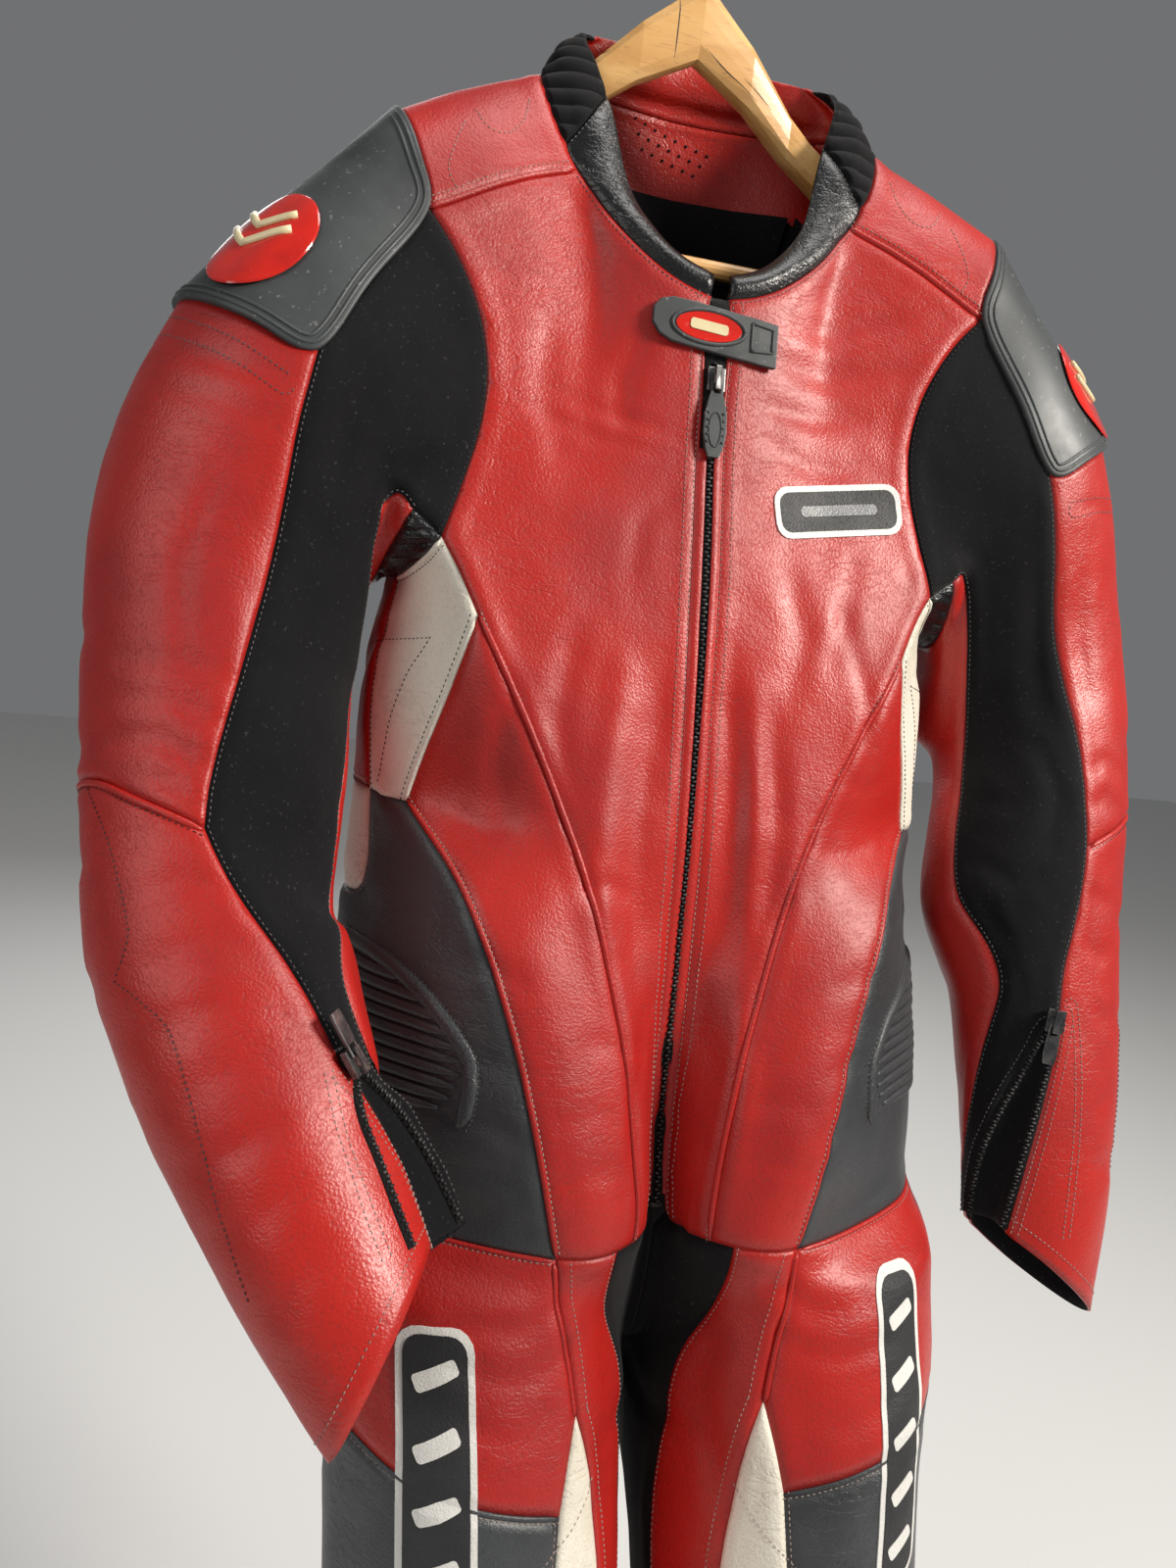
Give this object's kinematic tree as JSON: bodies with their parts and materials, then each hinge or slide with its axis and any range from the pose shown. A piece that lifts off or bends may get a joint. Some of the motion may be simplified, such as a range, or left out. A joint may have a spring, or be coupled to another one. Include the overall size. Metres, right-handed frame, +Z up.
{
  "type": "motorcycle race suit on hanger",
  "caption": "One-piece leather race suit with moulded shoulder cups, stretch panels and zipped cuffs, hanging empty on a wooden hanger.",
  "frame": {"origin": "inside top of the hanger's hook, where a rail carries it", "axes": "+Z up; the suit faces -Y; +X is towards the wearer's left"},
  "size_m": [0.7452, 0.4197, 1.7139],
  "materials": {
    "red_leather": "worn, waxed, slightly glossy with fine grain",
    "grey_leather": "soft satin",
    "white_leather": "off-white, matte, lightly soiled",
    "black_leather": "smooth, satin",
    "black_stretch": "matte stretch weave",
    "grey_rubber": "moulded, satin",
    "red_gloss": "glossy",
    "dark_metal": "dark, worn edges",
    "black_zip": "zip tape",
    "pine": "varnished, knotty",
    "steel": "polished wire"
  },
  "bodies": {
    "suit": {"armpit_rib_L": "black_leather", "armpit_rib_R": "black_leather", "back_panel": "red_leather", "collar_back": "red_leather", "collar_front_L": "black_leather", "collar_front_R": "black_leather", "collar_rib_L": "black_stretch", "collar_rib_R": "black_stretch", "cuff_L_slider": "dark_metal", "cuff_R_slider": "dark_metal", "cuff_gusset_L": "black_stretch", "cuff_gusset_R": "black_stretch", "forearm_L": "red_leather", "forearm_R": "red_leather", "front_panel_L": "red_leather", "front_panel_R": "red_leather", "hanger": "pine", "hanger_bar": "pine", "hanger_hook": "steel", "inner_leg_L": "black_stretch", "inner_leg_R": "black_stretch", "lower_leg_L": "red_leather", "lower_leg_R": "red_leather", "lumbar_band": "white_leather", "main_slider": "dark_metal", "main_zip": "black_zip", "neck_lining": "black_stretch", "neck_tab": "grey_rubber", "seat_panel": "red_leather", "shoulder_cup_L": "grey_rubber", "shoulder_cup_R": "grey_rubber", "shoulder_cup_insert_L": "red_gloss", "shoulder_cup_insert_R": "red_gloss", "side_front_L": "red_leather", "side_front_R": "red_leather", "sleeve_inner_L": "red_leather", "sleeve_inner_R": "red_leather", "sleeve_stretch_L": "black_stretch", "sleeve_stretch_R": "black_stretch", "thigh_back_L": "red_leather", "thigh_back_R": "red_leather", "thigh_front_L": "red_leather", "thigh_front_R": "red_leather", "thigh_inner_L": "red_leather", "thigh_inner_R": "red_leather", "thigh_side_L": "grey_leather", "thigh_side_R": "grey_leather", "thigh_wedge_L": "white_leather", "thigh_wedge_R": "white_leather", "underarm_L": "white_leather", "underarm_R": "white_leather", "upper_sleeve_L": "red_leather", "upper_sleeve_R": "red_leather", "waist_side_L": "grey_leather", "waist_side_R": "grey_leather", "yoke_L": "red_leather", "yoke_R": "red_leather"},
    "main_pull": {"main_pull": "grey_rubber"},
    "cuff_pull_L": {"cuff_L_pull": "dark_metal"},
    "cuff_pull_R": {"cuff_R_pull": "dark_metal"}
  },
  "joints": [
    {"name": "main_pull_hinge", "type": "hinge", "parent": "suit", "child": "main_pull", "pos_m": [0.016, -0.08582, -0.35535], "axis": [-1, 0, 0], "range_deg": [0, 120]},
    {"name": "cuff_pull_L_hinge", "type": "hinge", "parent": "suit", "child": "cuff_pull_L", "pos_m": [0.28524, -0.18665, -0.75179], "axis": [-0.9078, 0.414, 0.0678], "range_deg": [0, 120]},
    {"name": "cuff_pull_R_hinge", "type": "hinge", "parent": "suit", "child": "cuff_pull_R", "pos_m": [-0.19022, -0.23744, -0.75024], "axis": [0.4933, 0.8613, 0.1217], "range_deg": [0, 120]}
  ]
}
